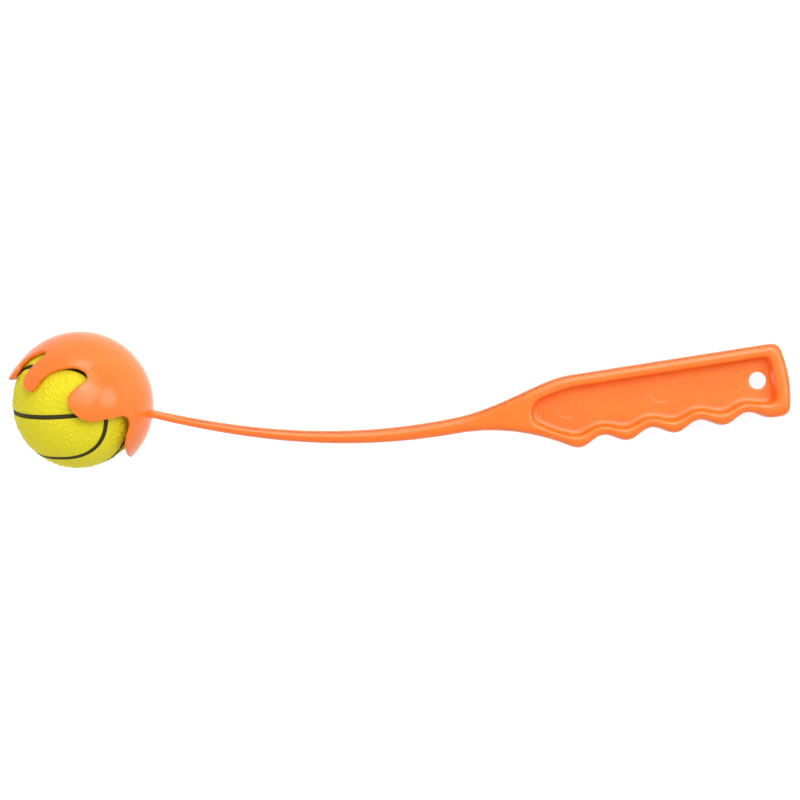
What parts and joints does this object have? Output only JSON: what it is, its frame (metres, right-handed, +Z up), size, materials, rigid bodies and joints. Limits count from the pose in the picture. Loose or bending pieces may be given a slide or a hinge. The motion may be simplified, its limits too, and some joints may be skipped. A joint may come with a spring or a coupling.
{
  "type": "dog ball thrower",
  "caption": "Long springy throwing arm with a pocketed finger grip handle and a fingered cup that holds a play ball with basketball style lines.",
  "frame": {"origin": "bottom centre of the box round the whole object, on the surface that it lies on", "axes": "+X runs along the arm from the cup to the handle's end, +Y towards the handle's straight edge, +Z up from the surface; the object lies on its side on the cup and the handle's far end"},
  "size_m": [0.3564, 0.0624, 0.0677],
  "materials": {
    "orange_plastic": "satin moulded plastic",
    "yellow_rubber": "pebbled matte rubber",
    "black_filling": "matte black"
  },
  "bodies": {
    "thrower": {"thrower": "orange_plastic"},
    "ball": {"ball": "yellow_rubber", "ball_lines": "black_filling"}
  },
  "joints": [
    {"name": "ball_release", "type": "slide", "parent": "thrower", "child": "ball", "axis": [-0.54, -0.8406, 0.0424], "range_m": [0, 0.09]}
  ]
}
